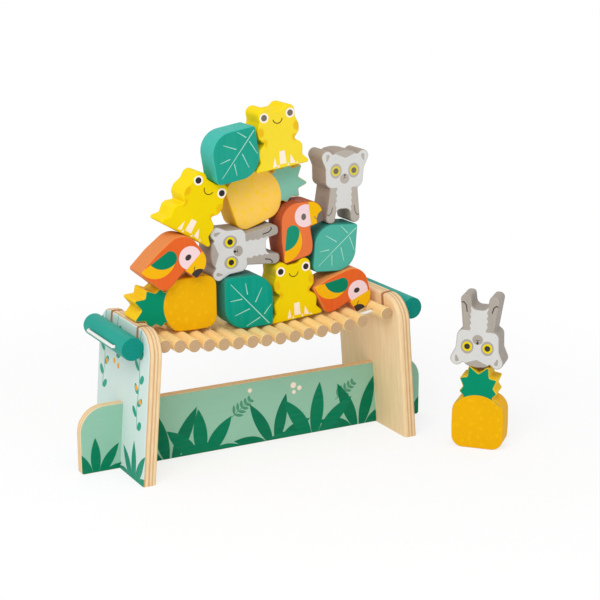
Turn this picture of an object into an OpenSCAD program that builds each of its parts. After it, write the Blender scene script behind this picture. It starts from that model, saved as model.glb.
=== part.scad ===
// Stacking balance game: a little rope bridge on a wooden frame, with wooden jungle
// blocks to pile on its swaying deck. Millimetres. X runs along the bridge, Y to the
// back and Z up. The origin is on the floor, in the middle of the bridge.

/* [Uprights] */
// Clear distance between the two uprights, at the floor
foot_span = 218; // [200:1:240]
// Width of an upright, front to back
upright_w = 100; // [90:1:120]
// Height of an upright above the floor
upright_h = 117; // [105:0.5:135]
// Thickness of the uprights' plywood
upright_t = 10.5; // [8:0.5:14]
// Angle at which each upright leans inwards, in degrees
upright_lean = 4.4; // [0:0.1:8]
// Radius of an upright's top corners
upright_corner_r = 20; // [8:1:30]
// Radius of the rounding along an upright's edges
upright_edge_r = 2; // [0.5:0.25:3]

/* [Base board] */
// Height of the base board
board_h = 52; // [40:1:62]
// Thickness of the base board's plywood
board_t = 8; // [6:0.5:12]
// Length of board that stands out past each upright, at the floor
wing_l = 31; // [22:1:40]
// Radius of the board's top corners
wing_r = 20; // [8:1:22]
// Radius of the board's bottom corners
wing_foot_r = 2; // [0.5:0.5:4]
// Gap all round between the board and the uprights where they are halved together
halving_gap = 0.1; // [0.05:0.05:0.3]

/* [Deck] */
// Diameter of a slat
slat_d = 10; // [7:0.5:11]
// Length of a slat
slat_l = 82; // [70:1:96]
// Share of the free room between the slats that lies before the last one
slat_slack = 0.3; // [0.07:0.01:0.5]
// Gap between the end slats and the uprights
slat_end_gap = 0.4; // [0.2:0.1:1]
// How far the deck hangs down at its lowest point
deck_sag = 7.9; // [3:0.1:12]
// Place along the bridge of the deck's lowest point
deck_low_x = 8; // [-20:1:20]
// Chamfer at the ends of the slats and of the end rods
dowel_chamfer = 0.5; // [0.2:0.1:0.9]

/* [Cord and end rods] */
// Diameter of the elastic cord
cord_d = 2.6; // [2:0.1:3.2]
// Distance between the cord's two runs
cord_spacing = 51; // [40:1:60]
// Gap between the cord and the holes and slots that it runs in
cord_gap = 0.3; // [0.2:0.05:0.6]
// Depth of the cord slots in the tops of the uprights
slot_depth = 14.4; // [10:0.1:18]
// Diameter of an end rod
rod_d = 17.5; // [14:0.5:22]
// Length of an end rod
rod_l = 78; // [68:1:94]
// Gap between an end rod and its upright
rod_gap = 0.1; // [0.05:0.05:0.3]

/* [Blocks] */
// Thickness of the wooden blocks
block_t = 23; // [18:0.5:28]
// Width of the chamfer round the edges of the blocks
block_edge = 1; // [0.4:0.1:1]
// Place of the pile's middle, front to back
stack_y = -4.5; // [-12:0.5:12]
// Gap left under each block where it rests
rest_gap = 0.1; // [0.05:0.05:0.3]
// Height of a frog
frog_h = 47; // [40:0.5:52]
// Height of a pineapple with its crown
pineapple_h = 67.5; // [58:0.5:74]
// Height of a lemur
lemur_h = 58; // [50:0.5:64]
// Length of a parrot from crest to tail
parrot_h = 48; // [42:0.5:54]
// Length along the midrib of the large leaf
leaf_large_h = 55.5; // [48:0.5:60]
// Length along the midrib of the small leaves
leaf_small_h = 51; // [46:0.5:55]

/* [Pair beside the bridge] */
// Place of the standing pineapple along the bridge's direction
pair_x = 152.5; // [148:0.5:220]
// Place of the standing pineapple, front to back
pair_y = -91; // [-120:1:-40]
// Angle by which the pair is turned, in degrees
pair_turn = -47; // [-90:1:90]

/* [Hidden] */

// Frame: the uprights lean in, so what lies on them shifts by their slope.
upright_slope = tan(upright_lean);
upright_run = upright_t / cos(upright_lean);
plank_top = upright_edge_r
    + (upright_h - upright_edge_r - (upright_t - upright_edge_r) * sin(upright_lean)) / cos(upright_lean);
cord_hole_d = cord_d + 2 * cord_gap;
cord_z = upright_h - slot_depth + cord_hole_d / 2;
inner_x = foot_span / 2 - cord_z * upright_slope;
outer_x = inner_x + upright_run;
rod_x = outer_x + rod_gap + rod_d / 2 / cos(upright_lean);
halving_z = board_h / 2;
board_half_l = foot_span / 2 + upright_run + wing_l;

// Deck: sixteen slats hang on the cord, along two half parabolas that meet at the lowest point.
slat_n = 16;
first_x = -inner_x + slat_end_gap + slat_d / 2;
slat_room = -2 * first_x - (slat_n - 1) * slat_d;
slat_pitch = slat_d + slat_room * (1 - slat_slack) / (slat_n - 2);
slat_x = [for (k = [0:slat_n - 1]) k == slat_n - 1 ? -first_x : first_x + k * slat_pitch];
function cord_height(x) =
    let (reach = x < deck_low_x ? inner_x + deck_low_x : inner_x - deck_low_x)
    cord_z - deck_sag + deck_sag * pow((x - deck_low_x) / reach, 2);
function cord_slope(x) = atan(cord_height(x + 0.5) - cord_height(x - 0.5));

// Outlines are lists of corners [x, y, radius], anticlockwise, with y up. Corners are cut into
// short sides, whose angle grows smaller as the radius grows.
arc_step = 38;
function flat(q) = [q.x, q.y];
function unit(v) = v / norm(v);
function turns_left(a, b, c) = (b.x - a.x) * (c.y - b.y) - (b.y - a.y) * (c.x - b.x) > 0;
function corner_arc(a, b, c, r, inset) =
    let (u = unit(a - b), v = unit(c - b), half = acos(u * v) / 2, side = turns_left(a, b, c) ? 1 : -1)
    let (centre = b + unit(u + v) * r / sin(half), from = b + u * r / tan(half) - centre)
    let (start = atan2(from.y, from.x), turn = side * (180 - 2 * half))
    let (n = ceil(abs(turn) * sqrt(r) / arc_step))
    [for (j = [0:n]) let (t = start + turn * j / n) centre + (r - side * inset) * [cos(t), sin(t)]];
function outline(c, inset = 0) =
    [for (i = [0:len(c) - 1]) let (a = c[(i + len(c) - 1) % len(c)], b = c[i], d = c[(i + 1) % len(c)])
        each corner_arc(flat(a), flat(b), flat(d), b[2], inset)];
function both_sides(half) =
    concat([for (i = [len(half) - 1:-1:0]) half[i]], [for (q = half) if (q.x > 0) [-q.x, q.y, q[2]]]);
function spun(c, angle) =
    [for (q = c) [q.x * cos(angle) - q.y * sin(angle), q.x * sin(angle) + q.y * cos(angle), q[2]]];

// The animals and the pineapple stand on y = 0. The leaf and the parrot are centred on their own
// middle. Each is drawn at the height that its size is divided by.
function frog_shape() = frog_h / 47 * both_sides([
    [4.4, 44.4, 4], [8.2, 47.5, 4], [15.6, 47, 5.2], [15.2, 37.2, 6], [17.8, 31, 6], [17.2, 25.5, 4],
    [12.4, 20.7, 1.3], [19.4, 15.6, 5.5], [18, 7, 1.5], [23.2, 1.8, 1.8], [21.6, 0, 1.3]]);
function pineapple_shape() = pineapple_h / 67.5 * both_sides([
    [0, 62, 1.3], [8.2, 68.6, 1.3], [8.8, 59, 1.3], [15.2, 57.9, 1.3], [12.2, 50.6, 1.3],
    [15.2, 46.4, 1.3], [11.2, 42.2, 1.3], [20.4, 37, 13], [20.8, 18, 40], [20.2, 0, 9]]);
function lemur_shape() = lemur_h / 58 * both_sides([
    [0, 58.4, 20], [8, 57.2, 6], [10.6, 54.6, 1.3], [16, 59.2, 4.5], [22.3, 54, 5], [17.4, 43.6, 4],
    [16.6, 30, 5.5], [12.4, 28, 1.5], [15.9, 0, 4], [7.6, 0, 3], [5.8, 11.2, 4.5]]);
function leaf_shape(h) = h / 55.7 * [[0, 29.4, 5], [-29.4, 0, 18], [0, -29.4, 2.5], [29.4, 0, 18]];
function parrot_shape() = parrot_h / 48 * [
    [21.4, 25.4, 11.5], [-14.2, 25.6, 15], [-14, -4, 30], [-11.6, -22.6, 2.2], [13.2, -17, 6],
    [13.8, -8, 25], [11.3, 5.3, 1.3], [23.2, 8.6, 1.6]];

// Seating: how far a polygon must rise for it to clear the one below it.
function tops(q, x) =
    [for (i = [0:len(q) - 1]) let (a = q[i], b = q[(i + 1) % len(q)])
        if (a.x > x != b.x > x) a.y + (b.y - a.y) * (x - a.x) / (b.x - a.x)];
function rise(p, q) = max(concat([-upright_h],
    [for (a = p) each [for (t = tops(q, a.x)) t - a.y]],
    [for (b = q) each [for (t = tops(p, b.x)) b.y - t]]));

// Blocks as [name, outline, place along the bridge, place to the back, turn, what it rests on], in
// building order. Places are in hundredths of a frog's height.
STACK = [
    ["pineapple_1", pineapple_shape(), -88.5, -2.8, 90.2, ["deck"]],
    ["leaf_1", leaf_shape(leaf_large_h), -33.2, -8.7, 45.1, ["deck"]],
    ["frog_1", frog_shape(), 58.7, -3, 4.8, ["deck"]],
    ["parrot_1", parrot_shape(), 141.3, -4.5, -74.2, ["deck"]],
    ["parrot_2", parrot_shape(), -174.3, -17, -52.9, ["pineapple_1"]],
    ["leaf_2", leaf_shape(leaf_small_h), 134.7, 3, 130.8, ["parrot_1", "frog_1"]],
    ["parrot_3", parrot_shape(), 60.6, -1.5, 0.1, ["frog_1", "leaf_2"]],
    ["lemur_1", lemur_shape(), 27.2, 0.4, 93.1, ["pineapple_1", "leaf_1", "frog_1"]],
    ["lemur_2", lemur_shape(), 151.5, 7.2, -2, ["leaf_2"]],
    ["frog_2", frog_shape(), -143, -4.9, -31, ["parrot_2"]],
    ["pineapple_2", pineapple_shape(), -52.1, 17, -70.5, ["lemur_1", "parrot_3"]],
    ["leaf_3", leaf_shape(leaf_small_h), -57.4, -17, 144.2, ["frog_2", "pineapple_2"]],
    ["frog_3", frog_shape(), 27.7, -13.6, 7, ["pineapple_2"]]];
PAIR = [
    ["pineapple_3", pineapple_shape(), 0, 0, 0],
    ["lemur_3", lemur_shape(), 0, 0, 178]];
place_unit = frog_h / 100;
function shadow(row) = [for (p = outline(spun(row[1], row[4]))) p + [row[2] * place_unit, 0]];
function slat_ring(x) = [for (a = [0:15:345]) [x, cord_height(x)] + slat_d / 2 * [cos(a), sin(a)]];
function upright_top(side) = [for (q = [[-1, 0], [1, 0], [1, 1], [-1, 1]])
    [side * (inner_x + outer_x) / 2 + q.x * upright_run / 2, q.y * upright_h]];
function below(name, shadows, heights) =
    name == "deck" ? concat([for (x = slat_x) slat_ring(x)], [upright_top(-1), upright_top(1)])
    : let (i = search([name], STACK)[0]) [[for (p = shadows[i]) p + [0, heights[i]]]];
function settled(shadows, heights = []) =
    let (k = len(heights))
    k == len(STACK) ? heights
    : let (under = [for (name = STACK[k][5]) each below(name, shadows, heights)])
    settled(shadows, concat(heights, [rest_gap + max([for (q = under) rise(shadows[k], q)])]));
stack_z = settled([for (row = STACK) shadow(row)]);
pair_z = [0, rest_gap + rise(shadow(PAIR[1]), shadow(PAIR[0]))];

// A slab between y = 0 and y = t, lofted from one outline through layers of [depth, inset].
function inside(p, a, b, c) = turns_left(a, b, p) && turns_left(b, c, p) && turns_left(c, a, p);
function is_ear(p, ids, k) =
    let (n = len(ids), a = p[ids[(k + n - 1) % n]], b = p[ids[k]], c = p[ids[(k + 1) % n]])
    turns_left(a, b, c) && len([for (i = ids) if (inside(p[i], a, b, c)) 1]) == 0;
function first_ear(p, ids, k = 0) = k == len(ids) - 1 || is_ear(p, ids, k) ? k : first_ear(p, ids, k + 1);
function triangles(p, ids, done = []) =
    len(ids) == 3 ? concat(done, [ids])
    : let (n = len(ids), k = first_ear(p, ids), ear = [ids[(k + n - 1) % n], ids[k], ids[(k + 1) % n]])
    triangles(p, [for (i = [0:n - 1]) if (i != k) ids[i]], concat(done, [ear]));
module slab(corners, layers) {
    rings = [for (e = layers) [for (p = outline(corners, e[1])) [p.x, e[0], p.y]]];
    n = len(rings[0]);
    far = n * (len(rings) - 1);
    cap = triangles([for (p = rings[0]) [p.x, p.z]], [for (i = [0:n - 1]) i]);
    polyhedron([for (r = rings) each r], concat(
        [for (f = cap) [f[2], f[1], f[0]]],
        [for (f = cap) [f[0] + far, f[1] + far, f[2] + far]],
        [for (k = [0:len(rings) - 2]) for (i = [0:n - 1]) let (a = k * n + i, b = k * n + (i + 1) % n)
            each [[a, b, a + n], [b, b + n, a + n]]]));
}
function chamfered(t, e) = [[0, e], [e, 0], [t - e, 0], [t, e]];
function rounded(t, e) = concat(
    [for (a = [0:30:90]) [e - e * cos(a), e - e * sin(a)]],
    [for (a = [90:-30:0]) [t - e + e * cos(a), e - e * sin(a)]]);

// Frame: the two uprights and the base board are halved together.
module upright() {
    side = upright_w / 2;
    plank = [[side, -upright_t, upright_edge_r + 1], [side, plank_top, upright_corner_r],
        [-side, plank_top, upright_corner_r], [-side, -upright_t, upright_edge_r + 1]];
    color("burlywood")
    difference() {
        translate([-foot_span / 2, 0, 0])
            rotate([0, upright_lean, 0])
            rotate([0, 0, 90])
            slab(plank, rounded(upright_t, upright_edge_r));
        translate([-foot_span, -upright_w, -upright_h])
            cube([foot_span, 2 * upright_w, upright_h]);
        translate([-foot_span, -board_t / 2 - halving_gap, -1])
            cube([foot_span, board_t + 2 * halving_gap, halving_z + 1 + halving_gap]);
        for (y = [-cord_spacing / 2, cord_spacing / 2]) translate([-(inner_x + outer_x) / 2, y, cord_z]) {
            translate([-upright_t, -cord_hole_d / 2, 0])
                cube([2 * upright_t, cord_hole_d, slot_depth]);
            rotate([0, 90, 0])
                cylinder(h = 2 * upright_t, d = cord_hole_d, center = true, $fn = 32);
        }
    }
}
module upright_left() { upright(); }
module upright_right() { mirror([1, 0, 0]) upright(); }
module base_board() {
    board = both_sides([[board_half_l, board_h, wing_r], [board_half_l, 0, wing_foot_r]]);
    low_x = foot_span / 2 - halving_z * upright_slope - halving_gap;
    top_x = foot_span / 2 - board_h * upright_slope - halving_gap;
    notch_w = upright_run + 2 * halving_gap;
    notch = [[low_x, halving_z], [low_x + notch_w, halving_z], [top_x + notch_w, board_h],
        [top_x + notch_w, board_h + 1], [top_x, board_h + 1], [top_x, board_h]];
    color("mediumaquamarine")
    translate([0, board_t / 2, 0])
        rotate([90, 0, 0])
        linear_extrude(board_t)
        difference() {
            polygon(outline(board));
            polygon(notch);
            mirror([1, 0]) polygon(notch);
        }
}

// Slats and end rods: round bars with chamfered ends and two cross holes for the cord
module dowel(d, l, hole_slope) {
    difference() {
        rotate([90, 0, 0])
            rotate_extrude($fn = 96)
            polygon([[0, -l / 2], [d / 2 - dowel_chamfer, -l / 2], [d / 2, dowel_chamfer - l / 2],
                [d / 2, l / 2 - dowel_chamfer], [d / 2 - dowel_chamfer, l / 2], [0, l / 2]]);
        for (y = [-cord_spacing / 2, cord_spacing / 2]) translate([0, y, 0])
            rotate([0, 90 - hole_slope, 0])
            cylinder(h = 2 * d, d = cord_hole_d, center = true, $fn = 32);
    }
}
module slat(k) {
    color("wheat")
    translate([slat_x[k], 0, cord_height(slat_x[k])])
        dowel(slat_d, slat_l, cord_slope(slat_x[k]));
}
module end_rod(side) {
    color("teal")
    translate([side * rod_x, 0, cord_z])
        dowel(rod_d, rod_l, 0);
}
module slat_01() { slat(0); }
module slat_02() { slat(1); }
module slat_03() { slat(2); }
module slat_04() { slat(3); }
module slat_05() { slat(4); }
module slat_06() { slat(5); }
module slat_07() { slat(6); }
module slat_08() { slat(7); }
module slat_09() { slat(8); }
module slat_10() { slat(9); }
module slat_11() { slat(10); }
module slat_12() { slat(11); }
module slat_13() { slat(12); }
module slat_14() { slat(13); }
module slat_15() { slat(14); }
module slat_16() { slat(15); }
module end_rod_left() { end_rod(-1); }
module end_rod_right() { end_rod(1); }

// Elastic cord: one closed loop through both rows of holes, across the outer side of each end rod
cord_sides = 8;
cord_bend_r = 0.75 * cord_d;
cord_out_x = rod_x + rod_d / 2 + cord_d / 2 + cord_gap;
cord_row = concat([[-rod_x, cord_z], [-inner_x, cord_z]], [for (x = slat_x) [x, cord_height(x)]],
    [[inner_x, cord_z], [rod_x, cord_z]]);
function cord_corner(a) =
    [cord_out_x - cord_bend_r * (1 - sin(a)), cord_spacing / 2 - cord_bend_r * (1 - cos(a)), cord_z];
cord_bend = concat(
    [for (a = [0:22.5:90]) let (q = cord_corner(a)) [q.x, -q.y, q.z]],
    [[cord_out_x, 0, cord_z]],
    [for (a = [90:-22.5:0]) cord_corner(a)]);
cord_path = concat(
    [for (q = cord_row) [q.x, -cord_spacing / 2, q.y]],
    cord_bend,
    [for (i = [len(cord_row) - 1:-1:0]) [cord_row[i].x, cord_spacing / 2, cord_row[i].y]],
    [for (q = cord_bend) [-q.x, -q.y, q.z]]);
module elastic_cord() {
    n = len(cord_path);
    points = [for (i = [0:n - 1])
        let (ahead = unit(cord_path[(i + 1) % n] - cord_path[(i + n - 1) % n]))
        let (across = unit(cross(ahead, [0, 0, 1])), up = cross(across, ahead))
        for (j = [0:cord_sides - 1]) let (a = (j + 0.5) * 360 / cord_sides)
            cord_path[i] + cord_d / 2 * (across * cos(a) + up * sin(a))];
    color("white")
    polyhedron(points, [for (i = [0:n - 1]) for (j = [0:cord_sides - 1])
        let (a = i * cord_sides + j, b = i * cord_sides + (j + 1) % cord_sides)
        let (c = (a + cord_sides) % (n * cord_sides), d = (b + cord_sides) % (n * cord_sides))
        each [[a, b, c], [b, d, c]]]);
}

// Blocks: those of the pile face the front, the pair is turned.
module block(row, z) {
    translate([row[2] * place_unit, row[3] * place_unit - block_t / 2, z])
        rotate([0, -row[4], 0])
        slab(row[1], chamfered(block_t, block_edge));
}
module stacked(name) {
    k = search([name], STACK)[0];
    translate([0, stack_y, 0]) block(STACK[k], stack_z[k]);
}
module paired(k) {
    translate([pair_x, pair_y, 0])
        rotate([0, 0, pair_turn])
        block(PAIR[k], pair_z[k]);
}
module pineapple_1() { color("goldenrod") stacked("pineapple_1"); }
module leaf_1() { color("lightseagreen") stacked("leaf_1"); }
module frog_1() { color("gold") stacked("frog_1"); }
module parrot_1() { color("coral") stacked("parrot_1"); }
module parrot_2() { color("coral") stacked("parrot_2"); }
module lemur_1() { color("lightgray") stacked("lemur_1"); }
module parrot_3() { color("coral") stacked("parrot_3"); }
module leaf_2() { color("lightseagreen") stacked("leaf_2"); }
module frog_2() { color("gold") stacked("frog_2"); }
module pineapple_2() { color("goldenrod") stacked("pineapple_2"); }
module lemur_2() { color("lightgray") stacked("lemur_2"); }
module leaf_3() { color("lightseagreen") stacked("leaf_3"); }
module frog_3() { color("gold") stacked("frog_3"); }
module pineapple_3() { color("goldenrod") paired(0); }
module lemur_3() { color("lightgray") paired(1); }

upright_left();
upright_right();
base_board();
slat_01();
slat_02();
slat_03();
slat_04();
slat_05();
slat_06();
slat_07();
slat_08();
slat_09();
slat_10();
slat_11();
slat_12();
slat_13();
slat_14();
slat_15();
slat_16();
elastic_cord();
end_rod_left();
end_rod_right();
pineapple_1();
leaf_1();
frog_1();
parrot_1();
parrot_2();
lemur_1();
parrot_3();
leaf_2();
frog_2();
pineapple_2();
lemur_2();
leaf_3();
frog_3();
pineapple_3();
lemur_3();
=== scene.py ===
"""The looks of the stacking balance game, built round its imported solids.

The file is laid out as an add-on and is run as a script. Each operator below makes one group of
pieces: the frame, the deck, the blocks and the stage. The pieces lie in the solids' own frame, in
metres: X along the bridge, Y to the back and Z up. Sizes and drawings are in millimetres.
"""
import math

import bpy
import numpy as np
from bpy.props import FloatProperty, FloatVectorProperty, PointerProperty
from mathutils import Euler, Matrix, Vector


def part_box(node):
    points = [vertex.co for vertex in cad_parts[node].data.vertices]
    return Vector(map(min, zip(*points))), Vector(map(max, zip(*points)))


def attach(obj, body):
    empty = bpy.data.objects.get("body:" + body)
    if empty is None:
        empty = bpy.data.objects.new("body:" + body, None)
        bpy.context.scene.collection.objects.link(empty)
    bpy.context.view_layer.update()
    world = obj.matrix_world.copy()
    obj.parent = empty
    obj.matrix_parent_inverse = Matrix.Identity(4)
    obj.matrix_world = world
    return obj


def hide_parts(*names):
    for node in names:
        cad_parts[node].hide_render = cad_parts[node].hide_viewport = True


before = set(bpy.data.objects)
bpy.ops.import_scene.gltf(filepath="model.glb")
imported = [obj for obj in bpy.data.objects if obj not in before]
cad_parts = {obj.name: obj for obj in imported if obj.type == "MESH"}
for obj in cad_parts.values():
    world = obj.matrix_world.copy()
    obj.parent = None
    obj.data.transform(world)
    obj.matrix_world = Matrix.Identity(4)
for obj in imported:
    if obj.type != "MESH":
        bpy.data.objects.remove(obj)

bl_info = {
    "name": "Stacking balance game",
    "version": (1, 0, 0),
    "blender": (4, 2, 0),
    "location": "View3D > Sidebar > Balance game",
    "description": "Dresses the solids of a toy rope bridge and its pile of wooden blocks",
    "category": "Object",
}

# One millimetre in metres, and the width in mm of the drawing that a piece's UV map covers
MM, MAP_SPAN = 0.001, 200.0


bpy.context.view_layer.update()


# Sizes and colours that a user would change


def srgb(*rgb):
    """Display values from 0 to 255 as linear light."""
    return tuple((v / 255 / 12.92 if v < 11 else ((v / 255 + 0.055) / 1.055) ** 2.4) for v in rgb)


def paint(name, text, rgb):
    """A colour property, given as display values and kept as linear light."""
    return FloatVectorProperty(
        name=name, description=text, subtype="COLOR", size=3, min=0, max=1, default=srgb(*rgb)
    )


def length(name, text, value):
    """A length property in millimetres."""
    return FloatProperty(name=name, description=text, default=value, min=0.01, max=1000)


class FrameLooks(bpy.types.PropertyGroup):
    edge: length("Upright edge", "Rounding along the uprights' edges, in mm", 2.0)
    board_edge: length("Board edge", "Rounding along the base board's edges, in mm", 0.7)
    birch: paint("Birch", "Bare face of the plywood", (252, 229, 190))
    birch_dark: paint("Birch grain", "Grain of the plywood's face", (235, 202, 154))
    ply_dark: paint("Dark ply", "Darker layers in the plywood's edges", (198, 148, 98))
    mint: paint("Mint", "Ground colour of the print on the base board", (150, 198, 174))
    pale_mint: paint("Pale mint", "Ground colour of the print on the uprights", (212, 230, 224))
    leaf: paint("Printed leaf", "Leaves in the prints", (0, 122, 86))
    creeper: paint("Creeper", "Hanging creepers in the prints", (14, 158, 130))
    fruit: paint("Fruit", "Hanging fruit in the prints", (243, 165, 50))
    berry: paint("Berry", "Berries in the prints", (250, 228, 210))


class DeckLooks(bpy.types.PropertyGroup):
    chamfer: length("Chamfer", "Rounding at the ends of slats and rods, in mm", 0.5)
    slat: paint("Slat", "Wood of the slats", (252, 224, 160))
    slat_dark: paint("Slat grain", "Grain of the slats", (243, 199, 129))
    end_grain: paint("End grain", "Sawn ends of the slats", (203, 168, 126))
    rod: paint("End rod", "Paint of the end rods", (0, 158, 141))
    cord: paint("Cord", "Elastic cord", (246, 245, 240))


class BlockLooks(bpy.types.PropertyGroup):
    edge: length("Block edge", "Rounding along the blocks' edges, in mm", 1.15)
    frog: paint("Frog", "Paint of the frogs", (237, 207, 2))
    pineapple: paint("Pineapple", "Paint of the pineapples", (236, 177, 4))
    crown: paint("Crown", "Paint of the pineapples' crowns", (0, 141, 104))
    leaf: paint("Leaf", "Paint of the leaves' faces", (0, 151, 129))
    leaf_side: paint("Leaf side", "Paint of the leaves' sides", (68, 182, 168))
    parrot: paint("Parrot", "Paint of the parrots' faces", (225, 95, 32))
    parrot_side: paint("Parrot side", "Paint of the parrots' sides", (236, 148, 80))
    lemur: paint("Lemur", "Light fur of the lemurs", (211, 211, 209))
    lemur_side: paint("Lemur side", "Darker fur and sides of the lemurs", (168, 160, 151))


class StageLooks(bpy.types.PropertyGroup):
    key: FloatProperty(name="Key light", description="Power of the main soft light, in watts",
                       default=12, min=0)
    sky: FloatProperty(name="Surround", description="Strength of the even light from all round",
                       default=0.72, min=0)
    floor: paint("Floor", "Studio floor", (250, 250, 250))


GROUPS = {"balance_frame": FrameLooks, "balance_deck": DeckLooks,
          "balance_blocks": BlockLooks, "balance_stage": StageLooks}


# Shader maths


class Value:
    """A number that changes over a surface: a socket with arithmetic that adds Math nodes."""

    def __init__(self, finish, socket):
        self.finish, self.socket = finish, socket

    def __add__(self, other):
        return self.finish.math("ADD", self, other)

    def __sub__(self, other):
        return self.finish.math("SUBTRACT", self, other)

    def __rsub__(self, other):
        return self.finish.math("SUBTRACT", other, self)

    def __mul__(self, other):
        return self.finish.math("MULTIPLY", self, other)

    def __neg__(self):
        return self.finish.math("MULTIPLY", self, -1.0)

    def __abs__(self):
        return self.finish.math("ABSOLUTE", self)

    __radd__ = __add__
    __rmul__ = __mul__

    def least(self, other):
        """The smaller of two values: where two shapes overlap."""
        return self.finish.math("MINIMUM", self, other)

    def most(self, other):
        """The larger of two values: two shapes together."""
        return self.finish.math("MAXIMUM", self, other)


class Finish:
    """A material, with one method that adds any node and the patterns that the pieces share."""

    def __init__(self, name):
        self.data = bpy.data.materials.new(name)
        self.data.use_nodes = True
        self.tree = self.data.node_tree
        self.tree.nodes.clear()
        self.output = self.tree.nodes.new("ShaderNodeOutputMaterial")

    def node(self, kind, settings=(), inputs=(), out=0):
        """Adds a node: its settings first, then its sockets' links and values. Gives output out."""
        made = self.tree.nodes.new(kind)
        for name, value in dict(settings).items():
            setattr(made, name, value)
        for name, value in dict(inputs).items():
            if isinstance(value, Value):
                self.tree.links.new(value.socket, made.inputs[name])
            else:
                made.inputs[name].default_value = value
        return Value(self, made.outputs[out])

    def math(self, operation, *values, clamp=False):
        """A Math node on up to three values."""
        settings = {"operation": operation, "use_clamp": clamp}
        return self.node("ShaderNodeMath", settings, dict(enumerate(values)))

    def line(self, x, slope, base=0.0):
        """slope * x + base, in one node."""
        return self.math("MULTIPLY_ADD", x, slope, base)

    def mix(self, factor, first, second):
        """The colour first where factor is 0, second where it is 1."""
        first, second = (v if isinstance(v, Value) else (*v, 1.0) for v in (first, second))
        return self.node("ShaderNodeMix", {"data_type": "RGBA"},
                         {0: factor, 6: first, 7: second}, 2)

    def mask(self, edge, soft=0.16):
        """1 inside a shape and 0 outside it, where edge is the distance inside it."""
        return self.math("MULTIPLY_ADD", edge, 1 / soft, 0.5, clamp=True)

    def noise(self, stretch, detail=3.0, rough=0.5):
        """Noise from 0 to 1 over the piece's own place, stretched by a scale for each axis."""
        vector = self.node("ShaderNodeVectorMath", {"operation": "MULTIPLY"},
                           {0: self.node("ShaderNodeTexCoord", out="Object"), 1: stretch})
        return self.node("ShaderNodeTexNoise", {},
                         {"Vector": vector, "Scale": 1.0, "Detail": detail, "Roughness": rough})

    def parts(self, vector):
        """The three numbers of a vector."""
        first = self.node("ShaderNodeSeparateXYZ", {}, {0: vector})
        return [Value(self, socket) for socket in first.socket.node.outputs]

    def place(self):
        """The three Object coordinates, in mm."""
        return [self.line(v, 1 / MM)
                for v in self.parts(self.node("ShaderNodeTexCoord", out="Object"))]

    def drawing(self):
        """The two coordinates of the piece's own outline, in mm, from its UV map."""
        x, y, _ = self.parts(self.node("ShaderNodeUVMap", {"uv_map": "Outline"}))
        return self.line(x, MAP_SPAN, -MAP_SPAN / 2), self.line(y, MAP_SPAN, -MAP_SPAN / 2)

    def number(self, name):
        """A number kept on the mesh."""
        return self.node("ShaderNodeAttribute", {"attribute_name": name}, out="Fac")

    def surface(self, colour, rough, height, depth=0.0002, gloss=0.3, sheen=0.0):
        """Ends the material: its colour, its roughness and a bump of depth metres. gloss is the
        strength of its highlights, where 0.5 is that of clear varnish."""
        normal = self.node("ShaderNodeBump", {}, {"Distance": depth, "Height": height})
        shader = self.node("ShaderNodeBsdfPrincipled", {}, {
            "Base Color": colour, "Roughness": rough, "Normal": normal,
            "Specular IOR Level": gloss, "Sheen Weight": sheen})
        self.tree.links.new(shader.socket, self.output.inputs[0])
        return self.data


def shade(colour, by):
    """A colour made darker or lighter."""
    return tuple(min(1.0, c * by) for c in colour)


def toward(colour, other, share):
    """A colour part of the way to another."""
    return tuple(a + (b - a) * share for a, b in zip(colour, other))


DARK, WORN_DARK = srgb(52, 46, 44), srgb(122, 112, 102)
CREAM = srgb(248, 232, 214)

# Scales of noise along X, Y and Z, per metre. Grain runs along the axis with the small one.
GRAIN_UP, GRAIN_ACROSS = (300, 300, 26), (26, 300, 300)
DRIFT, CLOUDS = (14, 14, 14), (30, 30, 30)
SPECKS, PORES, TOOTH = (260, 260, 260), (500, 500, 500), (900, 900, 900)


def disc(m, x, y, cx, cy, rx, ry=None, turn=0.0):
    """How far inside an ellipse a point lies: the smaller radius times one minus its distance
    from the centre, measured in radii. turn tips the ellipse anticlockwise, in degrees."""
    ry = ry or rx
    c, s = math.cos(math.radians(turn)), math.sin(math.radians(turn))
    if turn:
        u = m.line(x, c / rx, m.line(y, s / rx, -(cx * c + cy * s) / rx))
        v = m.line(x, -s / ry, m.line(y, c / ry, (cx * s - cy * c) / ry))
    else:
        u, v = m.line(x, 1 / rx, -cx / rx), m.line(y, 1 / ry, -cy / ry)
    span = m.math("SQRT", m.math("MULTIPLY_ADD", u, u, v * v))
    return m.line(span, -min(rx, ry), min(rx, ry))


def stroke(m, x, y, start, end, wide, tip=None):
    """How far inside a round-ended stroke a point lies: half the stroke's width, which changes
    evenly from wide / 2 to tip / 2, less the distance to the nearest point of its middle line."""
    tip = wide if tip is None else tip
    dx, dy = end[0] - start[0], end[1] - start[1]
    span = dx * dx + dy * dy
    along = m.math("MULTIPLY_ADD", x, dx / span,
                   m.line(y, dy / span, -(start[0] * dx + start[1] * dy) / span), clamp=True)
    u = x - m.line(along, dx, start[0])
    v = y - m.line(along, dy, start[1])
    away = m.math("SQRT", m.math("MULTIPLY_ADD", u, u, v * v))
    return m.line(along, (tip - wide) / 2, wide / 2) - away


def panel(m, x, y, corners):
    """How far inside a polygon without notches a point lies: the least of its distances from
    the sides. The corners go anticlockwise."""
    edges = []
    for (ax, ay), (bx, by) in zip(corners, corners[1:] + corners[:1]):
        span = math.hypot(bx - ax, by - ay)
        ux, uy = (bx - ax) / span, (by - ay) / span
        edges.append(m.line(y, ux, m.line(x, -uy, uy * ax - ux * ay)))
    whole = edges[0]
    for edge in edges[1:]:
        whole = whole.least(edge)
    return whole


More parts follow.
